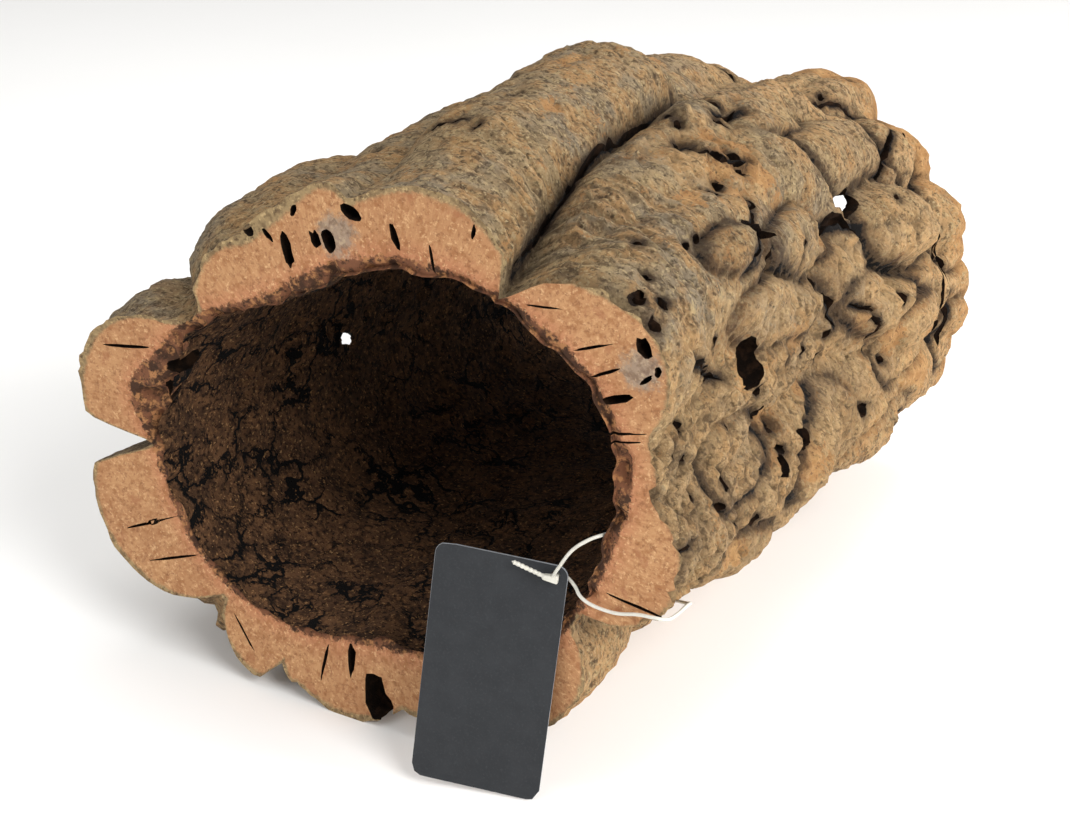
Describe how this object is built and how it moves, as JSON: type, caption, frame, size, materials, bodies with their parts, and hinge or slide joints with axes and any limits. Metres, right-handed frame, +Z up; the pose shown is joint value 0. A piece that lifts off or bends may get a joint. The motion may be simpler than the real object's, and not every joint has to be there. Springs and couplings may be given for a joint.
{
  "type": "cork bark tube",
  "caption": "Hollow tube of raw cork bark with rope-like ridges, furrows and pits, sawn across at the mouth, with a blank swing tag on a nylon loop.",
  "frame": {"origin": "on the floor under the middle of the cork tube's bounding box, measured without the tag and its loop", "axes": "+Y along the tube from its sawn mouth to its far end, +Z up, +X to the right seen from the mouth"},
  "size_m": [0.2456, 0.3226, 0.2167],
  "materials": {
    "cork_bark": "rough",
    "tag_card": "satin",
    "nylon": "translucent white"
  },
  "bodies": {
    "root": {"cork_bark_tube": "cork_bark", "swing_tag": "tag_card", "tag_loop": "nylon"}
  },
  "joints": []
}
